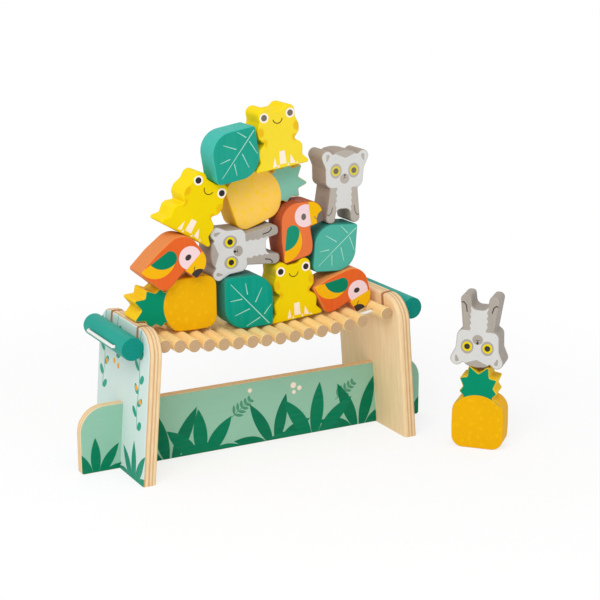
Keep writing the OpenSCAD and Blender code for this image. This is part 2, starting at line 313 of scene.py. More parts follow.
def blade(m, x, y, foot, angle, size, wide, bend=0.0):
    """How far inside a bent leaf blade a point lies. Along the blade, s runs from 0 at the foot
    to 1 at the tip. The half width is 2 * wide * s * (1 - s), and the middle line bends away by
    bend * s squared."""
    c, s = math.cos(math.radians(angle)), math.sin(math.radians(angle))
    along = m.line(x, c / size, m.line(y, s / size, -(foot[0] * c + foot[1] * s) / size))
    across = m.line(x, -s, m.line(y, c, foot[0] * s - foot[1] * c))
    square = along * along
    if bend:
        across = m.math("MULTIPLY_ADD", square, -bend, across)
    return m.line(along - square, 2 * wide) - abs(across)


def union(shapes):
    """How far inside the nearest of several shapes a point lies."""
    whole = shapes[0]
    for shape in shapes[1:]:
        whole = whole.most(shape)
    return whole


def tuft(m, x, y, across, up, spread, size, wide, count, lean):
    """Blades that fan out from one foot. The middle ones are the longest, and the outer ones
    start furthest apart and bend the most."""
    blades = []
    for k in range(count):
        t = 2 * k / (count - 1) - 1
        blades.append(blade(m, x, y, (across + 4 * t, up), 90 - lean - spread * t,
                            size * (1 - 0.28 * t * t), wide, -size * 0.2 * t))
    return union(blades)


def tufts(m, x, y, rows):
    """Several tufts together, one for each row."""
    return union([tuft(m, x, y, *row) for row in rows])


# Meshes

SHARP = math.radians(40)


def rounded(corners, step=14.0):
    """Points and outward normals of a polygon of corners [x, y, radius], anticlockwise. Each
    corner is an arc about a centre on its bisector, at radius / sin(half the corner's angle),
    whose points stand at equal angles."""
    table = np.array(corners, float)
    at, radius = table[:, :2], table[:, 2]
    back, ahead = np.roll(at, 1, 0) - at, np.roll(at, -1, 0) - at
    back /= np.linalg.norm(back, axis=1)[:, None]
    ahead /= np.linalg.norm(ahead, axis=1)[:, None]
    half = np.arccos(np.clip((back * ahead).sum(1), -1, 1)) / 2
    side = np.sign(back[:, 1] * ahead[:, 0] - back[:, 0] * ahead[:, 1])
    middle = (back + ahead) / np.linalg.norm(back + ahead, axis=1)[:, None]
    centre = at + middle * (radius / np.sin(half))[:, None]
    start = at + back * (radius / np.tan(half))[:, None] - centre
    first, turn = np.arctan2(start[:, 1], start[:, 0]), side * (math.pi - 2 * half)
    points, normals = [], []
    for k in range(len(table)):
        count = max(2, math.ceil(math.degrees(abs(turn[k])) * math.sqrt(radius[k]) / step))
        angle = first[k] + turn[k] * np.linspace(0, 1, count + 1)
        ray = np.stack([np.cos(angle), np.sin(angle)], 1)
        points.append(centre[k] + radius[k] * ray)
        normals.append(side[k] * ray)
    return np.concatenate(points), np.concatenate(normals)


def both_sides(half):
    """A half outline, from the middle of the top down the right side, and its mirror image."""
    return half[::-1] + [(-x, y, r) for x, y, r in half if x > 0]


def rim(thick, radius, steps=6):
    """Depth, inset and edge share of the rings of a slab whose edges are quarter circles: at
    angle a the depth is radius * (1 - cos a) and the inset is radius * (1 - sin a). The edge
    share grows from 0 on the flat face to 1 on the side."""
    a = np.linspace(0, math.pi / 2, steps + 1)
    depth, inset, share = radius * (1 - np.cos(a)), radius * (1 - np.sin(a)), a / (math.pi / 2)
    return (np.concatenate([depth, thick - depth[::-1]]), np.concatenate([inset, inset[::-1]]),
            np.concatenate([share, share[::-1]]))


def ring_faces(rings, n, closed=False):
    """Quads between rings of n points each, and a flat face over the first and last ring."""
    k, i = np.meshgrid(np.arange(rings if closed else rings - 1), np.arange(n), indexing="ij")
    j, up = (i + 1) % n, (k + 1) % rings
    quads = np.stack([k * n + i, up * n + i, up * n + j, k * n + j], -1).reshape(-1, 4).tolist()
    if closed:
        return quads
    return quads + [list(range(n)), list(range(rings * n - 1, rings * n - n - 1, -1))]


def add_piece(name, points, faces, numbers, outline):
    """A mesh object from points in mm and faces, with its numbers and its outline map. It is
    shaded smooth, its normals weighted by face area so that flat faces stay flat."""
    mesh = bpy.data.meshes.new(name)
    mesh.from_pydata((np.asarray(points, float) * MM).tolist(), [], faces)
    mesh.update()
    mesh.shade_smooth()
    mesh.set_sharp_from_angle(angle=SHARP)
    for key, values in numbers.items():
        made = mesh.attributes.new(key, "FLOAT", "POINT")
        made.data.foreach_set("value", np.asarray(values, np.float32).ravel())
    corners = np.empty(len(mesh.loops), np.int32)
    mesh.loops.foreach_get("vertex_index", corners)
    uv = np.asarray(outline, np.float32).reshape(-1, 2)[corners] / MAP_SPAN + 0.5
    mesh.uv_layers.new(name="Outline").data.foreach_set("uv", uv.ravel())
    piece = bpy.data.objects.new(name, mesh)
    bpy.context.scene.collection.objects.link(piece)
    piece.modifiers.new("Flat faces", "WEIGHTED_NORMAL").keep_sharp = True
    return piece


def dress(piece, material, slot, *nodes):
    """Gives a piece its material and its place in the frame."""
    piece.data.materials.append(material)
    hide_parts(*nodes)
    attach(piece, "root")


def node_box(name):
    """Lowest and highest corner of a node's box, in mm."""
    low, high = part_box(name)
    return np.array(low) / MM, np.array(high) / MM


# The frame: uprights and base board

LEAN = math.radians(4.4)
UPRIGHT_T, UPRIGHT_CORNER = 10.5, 20.0
BOARD_T, BOARD_CORNER, BOARD_FOOT = 8.0, 20.0, 2.0
# Half the width of the cord's slots, their distance from the middle, and how far round a slot
# the saw has browned the wood
SLOT_HALF, SLOT_Y, BURNT = 1.6, 25.5, 0.4
# Height at which the uprights and the board are halved over each other, and the play all round
HALVING_Z, HALVING_GAP = 26.0, 0.1
HALVING_HALF = BOARD_T / 2 + HALVING_GAP

# Darker sheets in the plywood's edges: the middle and half the thickness of each, as shares
UPRIGHT_SHEETS = ((0.34, 0.035), (0.6, 0.05), (0.96, 0.09))
BOARD_SHEETS = ((0.3, 0.05), (0.7, 0.05))

# Tufts in the prints: the foot's place across and up, the spread in degrees, the height, half
# the width of a blade, the number of blades and the lean in degrees
BOARD_BACK_TUFTS = ((-78, -6, 50, 52, 11, 4, 6), (14, -6, 48, 46, 10, 4, -8),
                    (92, -6, 46, 50, 11, 4, -4))
BOARD_TUFTS = ((-50, -7, 66, 44, 12, 5, -4), (50, -7, 66, 50, 12, 5, 6),
               (-139, -6, 52, 34, 8, 5, 0), (139, -6, 52, 34, 8, 5, 0))
UPRIGHT_TUFTS = ((-30, -6, 50, 46, 11, 4, 6), (31, -6, 54, 36, 9, 5, -4))
# Feet of the ferns, and berries as place across, place up and radius
FERNS = (-22, 72)
BERRIES = ((-97, 42.5, 2.6), (-91, 39, 2.1), (-90, 44.5, 1.8), (-8, 45, 1.8), (31, 43.5, 2.5),
           (36.5, 40.5, 2.0), (31.5, 37.8, 1.7))
# Creepers as place across, lowest height and number of leaves, and the fruit on them
CREEPERS = ((-37, 54, 6), (-13, 84, 3), (32, 40, 8))
FRUIT, FRUIT_R = ((-17.5, 80), (-9.5, 78), (27.5, 71), (36.8, 62), (-32.5, 76)), 2.3


def ply_layers(m, depth, looks, sheets, strength):
    """Edge of plywood: pale sheets with the darker ones in sheets between them."""
    wobble = m.noise(CLOUDS, 2.0)
    place = depth + m.line(wobble, 0.06, -0.03)
    band = union([m.line(abs(place - middle), -1.0, half) for middle, half in sheets])
    grain = m.noise((500, 500, 90), 3.0)
    pale = m.mix(m.mask(grain - 0.5, 0.6), toward(looks.birch, looks.birch_dark, 0.5),
                 shade(looks.birch_dark, 0.95))
    dark = m.mix(grain, looks.ply_dark, shade(looks.ply_dark, 0.85))
    return m.mix(m.mask(band, 0.09) * strength, pale, dark)


def birch_face(m, looks, stretch):
    """Face veneer: fine grain and broad pale streaks. Gives its colour and the grain."""
    grain = m.noise(stretch, 6.0, 0.62)
    streak = m.noise(tuple(v * 0.2 for v in stretch), 3.0)
    base = m.mix(m.mask(streak - 0.52, 0.5), looks.birch,
                 toward(looks.birch, looks.birch_dark, 0.6))
    return m.mix(m.mask(grain - 0.6, 0.5), base, looks.birch_dark), grain


def board_print(m, looks, x, z):
    """Generic undergrowth: tufts of arching blades, fern sprigs and round berries."""
    ground = m.mix(m.noise(DRIFT, 2.0), looks.mint, shade(looks.mint, 0.93))
    fern = union([blade(m, x, z, (foot + 3.3 * k, 27 + 2.4 * k), 40 + side * 52, 8.5 - k, 2.6)
                  for foot in FERNS for k in range(5) for side in (-1, 1)]
                 + [stroke(m, x, z, (foot - 2, 25.5), (foot + 15, 38), 0.7) for foot in FERNS])
    berries = union([disc(m, x, z, *berry) for berry in BERRIES])
    colour = m.mix(m.mask(fern, 0.3), ground, toward(looks.leaf, looks.mint, 0.25))
    colour = m.mix(m.mask(tufts(m, x, z, BOARD_BACK_TUFTS), 0.3), colour, shade(looks.leaf, 0.86))
    colour = m.mix(m.mask(tufts(m, x, z, BOARD_TUFTS), 0.3), colour, looks.leaf)
    return m.mix(m.mask(berries, 0.25), colour, looks.berry)


def upright_print(m, looks, y, z):
    """Generic creepers: hanging stems with leaves by turns, over two tufts. The stems sway by
    the sine of the height."""
    sway = y + m.line(m.math("SINE", m.line(z, 1 / 7.0)), 1.3)
    stems, leaves = [], []
    for cy, low, count in CREEPERS:
        stems.append(stroke(m, sway, z, (cy, 118), (cy, low), 0.9))
        for k in range(count):
            at, side = low + k * (112 - low) / count, 1 - 2 * (k % 2)
            leaves.append(disc(m, sway, z, cy + 4.4 * side, at + 3.2, 4.8, 2.7, 42 * side))
    creepers = m.mask(union(stems + leaves), 0.25)
    fruit = union([disc(m, sway, z, cy, cz, FRUIT_R) for cy, cz in FRUIT])
    ground = m.mix(m.noise(DRIFT, 2.0), looks.pale_mint, shade(looks.pale_mint, 0.95))
    colour = m.mix(creepers, ground, looks.creeper)
    colour = m.mix(m.mask(tufts(m, y, z, UPRIGHT_TUFTS), 0.25), colour,
                   toward(looks.leaf, looks.creeper, 0.5))
    return m.mix(m.mask(fruit, 0.25), colour, looks.fruit)


def upright_finish(looks, side, slot_z):
    """Birch plywood: bare inside and along its edges, printed outside, and browned by the saw
    round the slots for the cord."""
    m = Finish("Upright " + ("left" if side < 0 else "right"))
    depth, edge = m.number("depth"), m.number("edge")
    _, y, z = m.place()
    veneer, grain = birch_face(m, looks, GRAIN_UP)
    printed = upright_print(m, looks, y * side, z)
    printed = m.mix(m.line(grain, 0.2, -0.06), printed, shade(looks.pale_mint, 0.8))
    face = m.mix(m.mask(depth - 0.5, 0.1), veneer, printed)
    layers = ply_layers(m, depth, looks, UPRIGHT_SHEETS, 0.8)
    colour = m.mix(m.mask(edge - 0.45, 0.3), face, layers)
    reach = SLOT_HALF + BURNT
    burnt = (reach - abs(abs(y) - SLOT_Y)).least(z - (slot_z - reach))
    colour = m.mix(m.mask(burnt, 0.3) * 0.85, colour, srgb(196, 140, 96))
    return m.surface(colour, m.line(grain, 0.2, 0.42), grain, gloss=0.1)


def board_finish(looks):
    """Thin plywood, printed on both faces, with bare layered edges."""
    m = Finish("Base board")
    x, _, z = m.place()
    edge = ply_layers(m, m.number("depth"), looks, BOARD_SHEETS, 0.45)
    grain = m.noise(GRAIN_ACROSS, 5.0, 0.6)
    printed = m.mix(m.line(grain, 0.14, -0.05), board_print(m, looks, x, z),
                    shade(looks.mint, 0.7))
    colour = m.mix(m.mask(m.number("edge") - 0.45, 0.3), printed, edge)
    return m.surface(colour, m.line(grain, 0.2, 0.4), grain, gloss=0.06)


def plate_rings(points, inward, level, thick, radius, lean=0.0):
    """Rings of a plate lofted from one outline. Ring by ring, each point moves in by the ring's
    inset times its own direction. Where level is true, the height is measured above the floor,
    so that cuts made level stay level in a plate that leans. Gives across, height, depth and
    edge share, a row for each ring."""
    depth, inset, share = rim(thick, radius)
    across = points[None, :, 0] - inset[:, None] * inward[None, :, 0]
    height = points[None, :, 1] - inset[:, None] * inward[None, :, 1]
    depth = np.repeat(depth[:, None], len(points), 1)
    height = np.where(level[None, :], (height - depth * math.sin(lean)) / math.cos(lean), height)
    return across, height, depth, np.repeat(share[:, None], len(points), 1)


def upright_outline(half_w, top, slot_z, halving_z):
    """Outline of an upright, anticlockwise, as rows of across, height, the two parts of the
    inset direction, and 1 where the height is above the floor. Cuts for the cord and the base
    board keep their width, so their points don't move in."""
    rows = [(HALVING_HALF, 0, 0, 0, 1), (half_w, 0, 1, 0, 1)]
    bend = np.linspace(0, math.pi / 2, 17)
    middle, low = half_w - UPRIGHT_CORNER, top - UPRIGHT_CORNER
    rows += [(middle + UPRIGHT_CORNER * math.cos(a), low + UPRIGHT_CORNER * math.sin(a),
              math.cos(a), math.sin(a), 0) for a in bend]
    for y in (SLOT_Y, -SLOT_Y):
        rows.append((y + SLOT_HALF, top, 0, 1, 0))
        rows += [(y + SLOT_HALF * math.cos(a), slot_z - SLOT_HALF * math.sin(a), 0, 0, 1)
                 for a in np.linspace(0, math.pi, 13)]
        rows.append((y - SLOT_HALF, top, 0, 1, 0))
    rows += [(-middle - UPRIGHT_CORNER * math.sin(a), low + UPRIGHT_CORNER * math.cos(a),
              -math.sin(a), math.cos(a), 0) for a in bend]
    rows += [(-half_w, 0, -1, 0, 1), (-HALVING_HALF, 0, 0, 0, 1),
             (-HALVING_HALF, halving_z, 0, 0, 1), (HALVING_HALF, halving_z, 0, 0, 1)]
    return np.array(rows)


def add_upright(name, side, looks):
    """An upright that leans inwards. A point at height v along the plank and depth d below its
    inner face lies at (foot + v sin a - d cos a, v cos a + d sin a), and the right one is its
    mirror image."""
    low, high = node_box(name)
    slot_z = sum(node_box("end_rod_left"))[2] / 2
    foot = -max(abs(low[0]), abs(high[0])) + UPRIGHT_T / math.cos(LEAN)
    round_top = looks.edge * (1 - math.sin(LEAN) - math.cos(LEAN))
    top = (high[2] - UPRIGHT_T * math.sin(LEAN) - round_top) / math.cos(LEAN)
    rows = upright_outline((high[1] - low[1]) / 2, top, slot_z, HALVING_Z + HALVING_GAP)
    across, height, depth, share = plate_rings(
        rows[:, :2], rows[:, 2:4], rows[:, 4] > 0, UPRIGHT_T, looks.edge, LEAN)
    x = foot + height * math.sin(LEAN) - depth * math.cos(LEAN)
    z = height * math.cos(LEAN) + depth * math.sin(LEAN)
    faces = ring_faces(*across.shape)
    if side > 0:
        x, faces = -x, [face[::-1] for face in faces]
    points = np.stack([x, across, z], -1).reshape(-1, 3)
    piece = add_piece(name + "_plywood", points, faces,
                      {"depth": depth / UPRIGHT_T, "edge": share},
                      np.stack([across, height], -1))
    dress(piece, upright_finish(looks, side, slot_z), "upright_ply", name)


def add_board(looks):
    """The base board on edge, with a notch over the halving at each upright."""
    half, _, top = node_box("base_board")[1]
    slope, run = math.tan(LEAN), UPRIGHT_T / math.cos(LEAN)
    inner = -node_box("upright_left")[0][0] - run - HALVING_GAP
    outer = inner + run + 2 * HALVING_GAP
    foot, corner = BOARD_FOOT, BOARD_CORNER
    right = [(half - foot + foot * math.sin(a), foot - foot * math.cos(a),
              math.sin(a), -math.cos(a)) for a in np.linspace(0, math.pi / 2, 6)]
    right += [(half - corner + corner * math.cos(a), top - corner + corner * math.sin(a),
               math.cos(a), math.sin(a)) for a in np.linspace(0, math.pi / 2, 17)]
    right += [(outer - top * slope, top, 0, 1), (outer - HALVING_Z * slope, HALVING_Z, 0, 0),
              (inner - HALVING_Z * slope, HALVING_Z, 0, 0), (inner - top * slope, top, 0, 1)]
    rows = np.array(right + [(-x, z, -u, v) for x, z, u, v in right[::-1]])
    across, height, depth, share = plate_rings(
        rows[:, :2], rows[:, 2:], np.zeros(len(rows), bool), BOARD_T, looks.board_edge)
    points = np.stack([across, depth - BOARD_T / 2, height], -1).reshape(-1, 3)
    piece = add_piece("base_board_plywood", points, ring_faces(*across.shape),
                      {"depth": depth / BOARD_T, "edge": share}, np.stack([across, height], -1))
    dress(piece, board_finish(looks), "board_ply", "base_board")


class BALANCE_OT_frame(bpy.types.Operator):
    """Makes the two uprights and the base board"""

    bl_idname = "balance.frame"
    bl_label = "Frame"

    def execute(self, context):
        looks = context.scene.balance_frame
        add_upright("upright_left", -1, looks)
        add_upright("upright_right", 1, looks)
        add_board(looks)
        return {"FINISHED"}


# The deck: slats, end rods and cord

SLATS = 16
# Distance of the heart from a slat's middle, and the turns of its growth rings per mm, in radians
HEART, RINGS = 2.5, 5.5
# Radius of the cord, the step of its path, the pitch of its braid, and how far outside the
# uprights' innermost points it turns towards the end rods
CORD_R, CORD_STEP, BRAID, CORD_TURN = 1.25, 0.8, 2.2, 0.3


def dowel_holes(m, y, z):
    """How far inside one of the two cross holes for the cord a point lies. The dowels' meshes have
    no holes, so the finishes paint shade there.
    """
    return disc(m, abs(y), z, SLOT_Y, 0, SLOT_HALF)


def slat_finish(looks):
    """Beech dowel: long grain, growth rings on the sawn ends, and painted shade where the cord
    holes open.
    """
    m = Finish("Slats")
    y, z = m.drawing()
    tone, edge = m.number("tone"), m.number("edge")
    grain = m.noise((420, 24, 420), 6.0, 0.65)
    fleck = m.noise((1400, 160, 1400), 2.0)
    wood = m.mix(m.mask(grain - 0.55, 0.5), looks.slat, looks.slat_dark)
    wood = m.mix(m.line(tone, 0.4), wood, toward(looks.slat, looks.slat_dark, 0.7))
    wood = m.mix(m.mask(fleck - 0.68, 0.2) * 0.3, wood, shade(looks.slat_dark, 0.7))
    heart = m.line(tone, 40.0)
    u = m.line(m.math("SINE", heart), -HEART, m.place()[0] - m.number("middle"))
    v = m.line(m.math("COSINE", heart), -HEART, z)
    ring = m.math("SQRT", m.math("MULTIPLY_ADD", u, u, v * v))
    rings = m.math("SINE", m.line(ring, RINGS, m.line(grain, 5.0)))
    sawn = m.mix(m.mask(rings, 3.0), looks.end_grain, shade(looks.end_grain, 0.82))
    sawn = m.mix(m.mask(fleck - 0.6, 0.3) * 0.5, sawn, shade(looks.end_grain, 0.65))
    colour = m.mix(m.mask(0.4 - edge, 0.4), wood, sawn)
    # Painted shade: a darker disc where each cord hole opens, for the hole's shadowed inside.
    colour = m.mix(m.mask(dowel_holes(m, y, z), 0.3), colour, shade(looks.slat_dark, 0.62))
    return m.surface(colour, m.line(grain, 0.2, 0.45), grain + fleck * 0.4)


def rod_finish(looks):
    """Painted dowel: even paint over faint grain, with the sawn ends darker and mottled as painted
    shade, and painted shade where the cord holes open.
    """
    m = Finish("End rods")
    y, z = m.drawing()
    grain = m.noise((320, 16, 320), 5.0, 0.6)
    cloud = m.noise(CLOUDS, 3.0)
    coat = m.mix(m.mask(cloud - 0.5, 0.6), looks.rod, shade(looks.rod, 0.88))
    coat = m.mix(m.mask(grain - 0.62, 0.3) * 0.25, coat, shade(looks.rod, 0.7))
    # Painted shade: the sawn ends darker than the sides, mottled by fine noise.
    ends = m.mix(m.mask(m.noise(TOOTH, 3.0) - 0.5, 0.4), shade(looks.rod, 0.8),
                 shade(looks.rod, 0.62))
    colour = m.mix(m.mask(0.4 - m.number("edge"), 0.4), coat, ends)
    # Painted shade: a near-black disc where each cord hole opens.
    colour = m.mix(m.mask(dowel_holes(m, y, z), 0.3), colour, shade(looks.rod, 0.2))
    return m.surface(colour, m.line(grain, 0.2, 0.36), grain, gloss=0.15)


def cord_finish(looks):
    """Braided elastic: two sets of strands that cross, from the map along and around it, with
    painted shade in the grooves between the strands.
    """
    m = Finish("Elastic cord")
    along, around = m.drawing()
    strands = [m.math("SINE", m.line(along, 2 * math.pi / BRAID, around * (3.0 * sign)))
               for sign in (-1, 1)]
    braid = strands[0].most(strands[1])
    fuzz = m.noise((2500, 2500, 2500), 2.0)
    # Painted shade: darker where the strands part, in the grooves between them.
    colour = m.mix(m.mask(0.3 - braid, 1.2), looks.cord, shade(looks.cord, 0.72))
    colour = m.mix(m.line(fuzz, 0.25), colour, shade(looks.cord, 0.85))
    return m.surface(colour, m.line(fuzz, 0.2, 0.7), braid + fuzz * 0.5, 0.0001, sheen=0.3)


def add_dowel(name, node, tone, looks, material, slot):
    """A round bar along Y in its node's box: circles of the bar's radius less the rim's inset."""
    low, high = node_box(node)
    radius, middle = (high[0] - low[0]) / 2, (low + high) / 2
    depth, inset, share = rim(high[1] - low[1], looks.chamfer, 4)
    angle = np.linspace(0, 2 * math.pi, 64, endpoint=False)
    x = (radius - inset)[:, None] * np.cos(angle)
    z = (radius - inset)[:, None] * np.sin(angle)
    y = np.repeat((low[1] + depth)[:, None], len(angle), 1)
    points = np.stack([x + middle[0], y, z + middle[2]], -1).reshape(-1, 3)
    piece = add_piece(name, points, ring_faces(*x.shape),
                      {"edge": np.repeat(share[:, None], len(angle), 1),
                       "tone": np.full(x.shape, tone), "middle": np.full(x.shape, middle[0])},
                      np.stack([y - middle[1], z], -1))
    dress(piece, material, slot, node)


def cord_path():
    """Middle line of the cord, in mm: along both rows of holes at the slats' middles, and
    straight across the outer side of each end rod, with its corners rounded by averaging. It
    starts inside an end rod, so that the map's seam is hidden."""
    low, high = node_box("elastic_cord")
    rods = [sum(node_box("end_rod_" + side)) / 2 for side in ("left", "right")]
    slats = sorted((sum(node_box("slat_%02d" % (k + 1))) / 2 for k in range(SLATS)),
                   key=lambda middle: middle[0])
    left, right = (rods[0][0], rods[0][2]), (rods[1][0], rods[1][2])
    inner = node_box("upright_left")[1][0] - CORD_TURN, node_box("upright_right")[0][0] + CORD_TURN
    row = [left, (inner[0], left[1]), *[(middle[0], middle[2]) for middle in slats],
           (inner[1], right[1]), right]
    near, far = low[0] + CORD_R, high[0] - CORD_R
    corners = [(x, -SLOT_Y, z) for x, z in row]
    corners += [(far, -SLOT_Y, right[1]), (far, SLOT_Y, right[1])]
    corners += [(x, SLOT_Y, z) for x, z in row[::-1]]
    corners += [(near, SLOT_Y, left[1]), (near, -SLOT_Y, left[1])]
    closed = np.array(corners + corners[:1])
    along = np.concatenate([[0], np.cumsum(np.linalg.norm(np.diff(closed, axis=0), axis=1))])
    even = np.arange(0, along[-1], CORD_STEP)
    path = np.stack([np.interp(even, along, closed[:, k]) for k in range(3)], -1)
    return sum(np.roll(path, k, 0) for k in range(-2, 3)) / 5


def add_cord(looks):
    """A round tube along the cord's path: at angle t its ring point is the middle line plus
    radius * (across * cos t + up * sin t)."""
    n, path = 20, cord_path()
    ahead = np.roll(path, -1, 0) - np.roll(path, 1, 0)
    ahead /= np.linalg.norm(ahead, axis=1)[:, None]
    across = np.cross(ahead, [0, 0, 1])
    across /= np.linalg.norm(across, axis=1)[:, None]
    up = np.cross(across, ahead)
    t = np.linspace(0, 2 * math.pi, n, endpoint=False)[None, :, None]
    points = path[:, None] + CORD_R * (across[:, None] * np.cos(t) + up[:, None] * np.sin(t))
    step = np.linalg.norm(np.roll(path, -1, 0) - path, axis=1)
    along = np.repeat((np.cumsum(step) - step)[:, None], n, 1)
    around = np.repeat(np.abs(np.linspace(-math.pi, math.pi, n, endpoint=False))[None],
                       len(path), 0)
    piece = add_piece("elastic_cord_braid", points.reshape(-1, 3),
                      ring_faces(len(path), n, True), {}, np.stack([along, around], -1))
    dress(piece, cord_finish(looks), "cord_white", "elastic_cord")


class BALANCE_OT_deck(bpy.types.Operator):
    """Makes the slats, the end rods and the elastic cord"""

    bl_idname = "balance.deck"
    bl_label = "Deck"

    def execute(self, context):
        looks = context.scene.balance_deck
        wood, teal = slat_finish(looks), rod_finish(looks)
        for k in range(SLATS):
            name = "slat_%02d" % (k + 1)
            add_dowel(name + "_dowel", name, k * 0.618 % 1, looks, wood, "slat_wood")
        for k, side in enumerate(("left", "right")):
            name = "end_rod_" + side
            add_dowel(name + "_dowel", name, 0.3 * k, looks, teal, "rod_teal")
        add_cord(looks)
        return {"FINISHED"}


# The blocks

FROG = both_sides([
    (4.4, 44.4, 4), (8.2, 47.5, 4), (15.6, 47, 5.2), (15.2, 37.2, 6), (17.8, 31, 6),
    (17.2, 25.5, 4), (12.4, 20.7, 1.3), (19.4, 15.6, 5.5), (18, 7, 1.5), (23.2, 1.8, 1.8),
    (21.6, 0, 1.3)])
PINEAPPLE = both_sides([
    (0, 62, 1.3), (8.2, 68.6, 1.3), (8.8, 59, 1.3), (15.2, 57.9, 1.3), (12.2, 50.6, 1.3),
    (15.2, 46.4, 1.3), (11.2, 42.2, 1.3), (20.4, 37, 13), (20.8, 18, 40), (20.2, 0, 9)])
LEMUR = both_sides([
    (0, 58.4, 20), (8, 57.2, 6), (10.6, 54.6, 1.3), (16, 59.2, 4.5), (22.3, 54, 5),
    (17.4, 43.6, 4), (16.6, 30, 5.5), (12.4, 28, 1.5), (15.9, 0, 4), (7.6, 0, 3),
    (5.8, 11.2, 4.5)])
LEAF = [(0, 29.4, 5), (-29.4, 0, 18), (0, -29.4, 2.5), (29.4, 0, 18)]
PARROT = [(21.4, 25.4, 11.5), (-14.2, 25.6, 15), (-14, -4, 30), (-11.6, -22.6, 2.2),
          (13.2, -17, 6), (13.8, -8, 25), (11.3, 5.3, 1.3), (23.2, 8.6, 1.6)]

# Drawn on the faces: the corners of the frog's toes, the lines round the lemur's two hands, and
# the leaf's midrib and veins from thick end to thin end
FROG_TOES = (
    [(-2.2, 3.4), (3.3, 3.0), (3.0, 13.2), (-1.6, 13.0)],
    [(-8.5, 1.6), (-5.0, 2.2), (-6.0, 9.2)], [(6.5, 2.4), (11.0, 1.8), (7.6, 9.2)],
    [(-4.4, 1.0), (-2.6, 1.2), (-3.4, 3.4)], [(3.8, 1.2), (5.6, 1.0), (4.8, 3.4)],
    [(11.8, 1.0), (13.4, 0.9), (12.4, 2.9)])
LEMUR_HANDS = (((-14.9, 16), (-14.9, 7.7), (-13.2, 6.7), (-11.1, 8.5), (-10.1, 12.7)),
               ((9.7, 13.5), (10.6, 8.5), (12.7, 6), (14.1, 6.4)))
LEAF_VEINS = (((-1.4, -25.4), (0, 22)), ((-2.5, 6.7), (-9.7, 12.9)),
              ((-3.9, -3.9), (-15.2, 1.8)), ((-3.2, -15.9), (-15.2, -11.6)),
              ((3.5, 5.6), (8.5, 12.7)), ((3.5, -4.2), (14.9, -0.7)), ((1.4, -17), (10.6, -16.3)))


def paints(m, colour, faded, streaks=0.0):
    """A block's main paint: a little cloudy, and paler where the block's number fade is above 0.
    streaks is how much of the wood's upright grain shows through it."""
    cloud, grain = m.noise((38, 38, 38), 3.0), m.noise((420, 420, 34), 4.0, 0.6)
    base = m.mix(m.number("fade"), colour, faded)
    darker = m.mix(m.number("fade"), shade(colour, 0.92), shade(faded, 0.94))
    base = m.mix(m.mask(cloud - 0.5, 0.6), base, darker)
    return m.mix(m.mask(grain - 0.52, 0.3) * streaks, base, shade(faded, 1.1))


def ink(m):
    """Dark print, greyer where the block's number fade is above 0."""
    return m.mix(m.number("fade"), DARK, WORN_DARK)


def coated(m, face, side, dark):
    """Ends a block's material: the printed face and the stained side. Where the block's shade
    number is above 0, the side turns towards dark, a painted shade: the colour the side shows in
    shadow. dark also gives the side faint specks."""
    fine, grain = m.noise(SPECKS, 5.0, 0.65), m.noise(PORES, 2.0)
    # Painted shade: the side darkened towards the colour it shows in shadow, block by block.
    side = m.mix(m.number("painted_side_shade"), side, dark)
    side = m.mix(m.mask(fine - 0.58, 0.3) * 0.08, side, dark)
    colour = m.mix(m.mask(m.number("edge") - 0.4, 0.35), face, side)
    return m.surface(colour, m.line(fine, 0.3, 0.36), fine + grain * 0.5, 0.00012, gloss=0.06)


def frog_finish(looks):
    """Frog: ringed eyes, a thin smile, ochre blotches and pale toes."""
    m = Finish("Frog")
    x, y = m.drawing()
    wide, eye = abs(x), (11.1, 40.6)
    face = paints(m, looks.frog, srgb(242, 215, 54))
    blotch = disc(m, wide, y, 15.2, 30, 2.6, 3.6).most(disc(m, wide, y, 12.6, 21.6, 2.0, 2.8))
    face = m.mix(m.mask(blotch, 1.4) * 0.75, face, srgb(226, 172, 14))
    toes = union([panel(m, x, y, corners) for corners in FROG_TOES])
    face = m.mix(m.mask(toes), face, CREAM)
    smile = (0.4 - abs(disc(m, x, y, 0, 38.5, 3.9))).least(38.0 - y)
    face = m.mix(m.mask(smile, 0.2), face, srgb(92, 74, 22))
    face = m.mix(m.mask(disc(m, wide, y, *eye, 3.7)), face, srgb(250, 236, 226))
    face = m.mix(m.mask(disc(m, wide, y, *eye, 2.45)), face, ink(m))
    # The last colour is painted shade: the frog's side as it looks in shadow.
    return coated(m, face, shade(looks.frog, 1.06), srgb(206, 184, 20))


def pineapple_finish(looks):
    """Pineapple: golden body with lighter spots and a deeper rim, green crown, yellow sides."""
    m = Finish("Pineapple")
    x, y = m.drawing()
    fade = m.number("fade")
    cells = m.node("ShaderNodeTexVoronoi", {}, {
        "Vector": m.node("ShaderNodeTexCoord", out="Object"), "Scale": 200.0})
    ragged = m.line(m.noise((700, 700, 700), 3.0), 0.5, -0.25)
    spots = m.mask(0.29 - cells + ragged, 0.14) * m.line(fade, 0.55, 0.25)
    body = m.mix(spots, paints(m, looks.pineapple, srgb(255, 207, 92)), srgb(253, 206, 22))
    crown = (-disc(m, x, y, 0, 20.4, 23.8)).least(y - 36.0)
    body = m.mix(m.mask(m.number("edge") - 0.1, 0.12), body, looks.pineapple)
    face = m.mix(m.mask(crown), body, paints(m, looks.crown, srgb(132, 194, 174)))
    side = m.mix(m.mask(y - 42.0, 6.0), looks.pineapple, srgb(242, 198, 6))
    # The last colour is painted shade: the pineapple's side as it looks in shadow.
    return coated(m, face, side, srgb(190, 144, 92))


def leaf_finish(looks):
    """Leaf: midrib and six veins, drawn as pale tapered strokes, and lighter sides."""
    m = Finish("Leaf")
    x, y = m.drawing()
    veins = union([stroke(m, x, y, start, end, 0.8, 0.4) for start, end in LEAF_VEINS])
    face = m.mix(m.mask(veins) * 0.9, paints(m, looks.leaf, srgb(80, 176, 157), 0.1),
                 srgb(176, 222, 206))
    # The last colour is painted shade: the leaf's side as it looks in shadow.
    return coated(m, face, looks.leaf_side, srgb(34, 82, 62))


